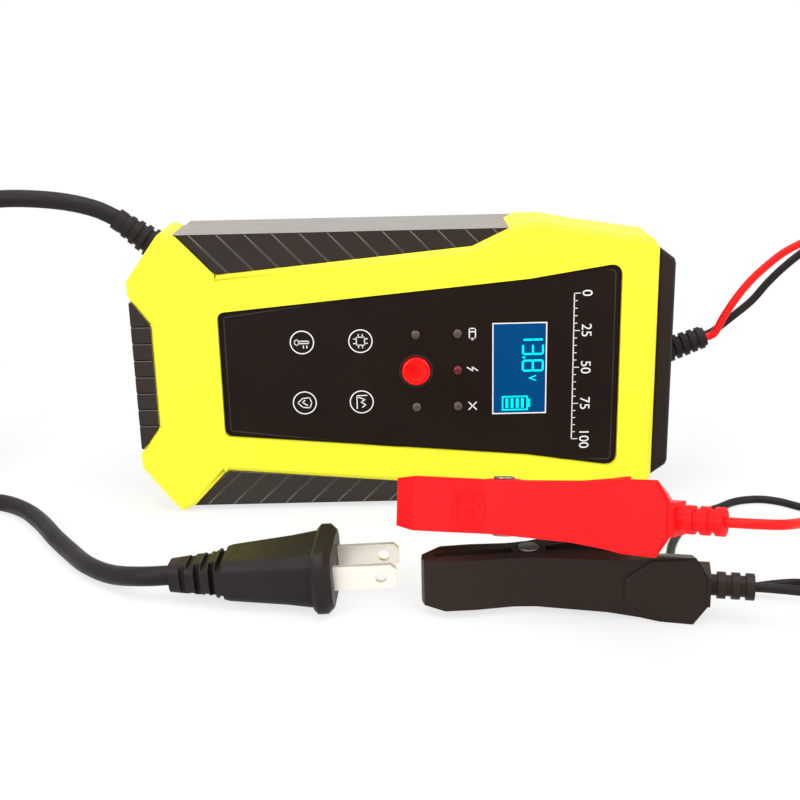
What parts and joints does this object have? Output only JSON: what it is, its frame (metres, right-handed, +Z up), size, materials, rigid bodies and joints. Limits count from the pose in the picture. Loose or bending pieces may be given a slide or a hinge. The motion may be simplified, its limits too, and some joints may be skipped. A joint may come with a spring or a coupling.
{
  "type": "car battery charger",
  "caption": "Hand-sized car battery charger standing on its long side, with a mains lead and plug and two battery leads that end in toothed spring clamps.",
  "frame": {"origin": "bottom centre of the housing's box, without the free cords and what hangs on them", "axes": "+X along the housing towards its wide end with the end cap, +Y away from the face towards the back, +Z up; the housing stands on its long side and the face looks towards -Y"},
  "size_m": [0.3928, 0.1786, 0.098],
  "materials": {
    "shell_black": "fine satin moulding",
    "frame_yellow": "satin moulding",
    "panel_black": "matte film",
    "lcd_blue": "smooth",
    "lcd_body": "moulded",
    "button_red": "smooth",
    "led_lens": "clear, unlit",
    "board_green": "solder resist",
    "ferrite": "sintered",
    "coil_tape": "wound tape",
    "choke_coat": "powder",
    "copper_wire": "enamelled copper",
    "can_dark": "sleeved aluminium",
    "sink_aluminium": "extruded",
    "package_black": "moulded",
    "fuse_glass": "clear",
    "steel": "zinc plated",
    "cord_black": "satin jacket",
    "blade_plating": "nickel plated",
    "lead_red": "satin jacket",
    "lead_black": "satin jacket",
    "clamp_red": "smooth",
    "clamp_black": "smooth",
    "jaw_copper": "copper plated"
  },
  "bodies": {
    "charger": {"front_shell": "shell_black", "front_frame": "frame_yellow", "back_shell": "shell_black", "end_cap": "shell_black", "face_panel": "panel_black", "lcd_glass": "lcd_blue", "lcd_module": "lcd_body", "mode_switch": "lcd_body", "status_leds": "led_lens", "display_board": "board_green", "main_board": "board_green", "transformer_core": "ferrite", "transformer_winding": "coil_tape", "filter_capacitor": "can_dark", "output_capacitors": "can_dark", "heat_sink": "sink_aluminium", "power_transistors": "package_black", "choke_core": "choke_coat", "choke_winding": "copper_wire", "line_filter": "package_black", "fuse": "fuse_glass", "housing_screws": "steel", "board_screws": "steel", "ac_gland": "shell_black", "dc_gland": "shell_black", "ac_cord_upper": "cord_black", "ac_coil": "cord_black", "ac_cord_lower": "cord_black", "plug_body": "cord_black", "plug_blades": "blade_plating", "red_lead_upper": "lead_red", "red_coil": "lead_red", "red_lead_lower": "lead_red", "black_lead_upper": "lead_black", "black_coil": "lead_black", "black_lead_lower": "lead_black", "red_clamp_handle": "clamp_red", "red_handle_jaw": "jaw_copper", "red_clamp_spring": "steel", "red_clamp_rivet": "steel", "black_clamp_handle": "clamp_black", "black_handle_jaw": "jaw_copper", "black_clamp_spring": "steel", "black_clamp_rivet": "steel"},
    "button": {"mode_button": "button_red"},
    "red_lever": {"red_clamp_lever": "clamp_red", "red_lever_jaw": "jaw_copper"},
    "black_lever": {"black_clamp_lever": "clamp_black", "black_lever_jaw": "jaw_copper"}
  },
  "joints": [
    {"name": "button_press", "type": "slide", "parent": "charger", "child": "button", "axis": [0, 1, 0], "range_m": [0, 0.0006], "stiffness_N_per_m": 400, "springref_m": -0.0004},
    {"name": "red_lever_pivot", "type": "hinge", "parent": "charger", "child": "red_lever", "pos_m": [0.02395, -0.0885, 0.0271], "axis": [-0.0507, -0.3045, -0.9512], "range_deg": [0, 25], "stiffness_Nm_per_rad": 0.12, "springref_deg": -34.38},
    {"name": "black_lever_pivot", "type": "hinge", "parent": "charger", "child": "black_lever", "pos_m": [0.0302, -0.0883, 0.0088], "axis": [0, 0, -1], "range_deg": [0, 25], "stiffness_Nm_per_rad": 0.12, "springref_deg": -34.38}
  ]
}
